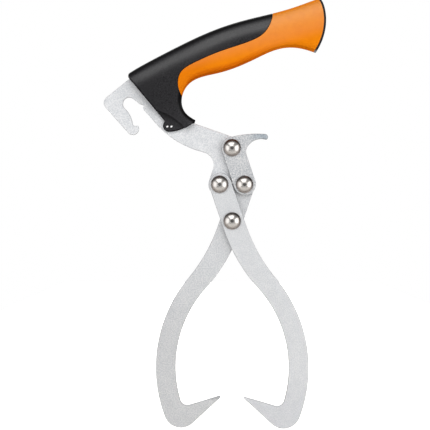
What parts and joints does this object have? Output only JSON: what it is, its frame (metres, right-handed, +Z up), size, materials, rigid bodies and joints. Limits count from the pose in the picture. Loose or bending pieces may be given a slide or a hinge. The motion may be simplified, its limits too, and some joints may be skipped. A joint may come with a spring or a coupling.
{
  "type": "log tongs",
  "caption": "Hand log tongs: two hooked steel claws on a riveted linkage close on a log when it is lifted by the sloping soft-grip handle; a notch on the frame hangs them up.",
  "frame": {"origin": "middle of the grip, straight above the pivots, where a hand lifts the load", "axes": "+Z up along the hanging tongs, +X towards the butt of the grip, -Y out of the rivet heads"},
  "size_m": [0.1986, 0.028, 0.3854],
  "materials": {
    "plate_steel": "coated sheet steel, fine even grain, light grey",
    "rivet_nickel": "polished nickel plate",
    "washer_steel": "zinc plated",
    "hard_plastic": "moulded satin black, fine texture",
    "cap_plastic": "moulded satin black",
    "soft_rubber": "soft-touch orange overmould, matt"
  },
  "bodies": {
    "frame": {"frame_plate": "plate_steel", "handle_shell": "hard_plastic", "soft_grip": "soft_rubber", "end_cap": "cap_plastic", "top_rivet": "rivet_nickel", "top_spacer": "washer_steel", "top_washer": "washer_steel", "left_rivet": "rivet_nickel", "left_spacer": "washer_steel", "left_washer": "washer_steel"},
    "link": {"link": "plate_steel"},
    "right_jaw": {"right_jaw": "plate_steel"},
    "left_jaw": {"left_jaw": "plate_steel", "right_rivet": "rivet_nickel", "right_spacer": "washer_steel", "right_washer": "washer_steel", "bottom_rivet": "rivet_nickel", "bottom_spacer": "washer_steel", "bottom_washer": "washer_steel"}
  },
  "joints": [
    {"name": "right_jaw_pivot", "type": "hinge", "parent": "frame", "child": "right_jaw", "pos_m": [-0.0111, 0, -0.1247], "axis": [0, -1, 0], "range_deg": [0, 75]},
    {"name": "link_pivot", "type": "hinge", "parent": "frame", "child": "link", "pos_m": [0, 0, -0.092], "axis": [0, -1, 0], "range_deg": [0, 75]},
    {"name": "left_jaw_pivot", "type": "hinge", "parent": "right_jaw", "child": "left_jaw", "pos_m": [0, 0, -0.1574], "axis": [0, -1, 0], "range_deg": [-75, 0]}
  ],
  "couplings": [
    {"joint": "link_pivot", "follows": "right_jaw_pivot", "ratio": 1},
    {"joint": "left_jaw_pivot", "follows": "right_jaw_pivot", "ratio": -1}
  ]
}
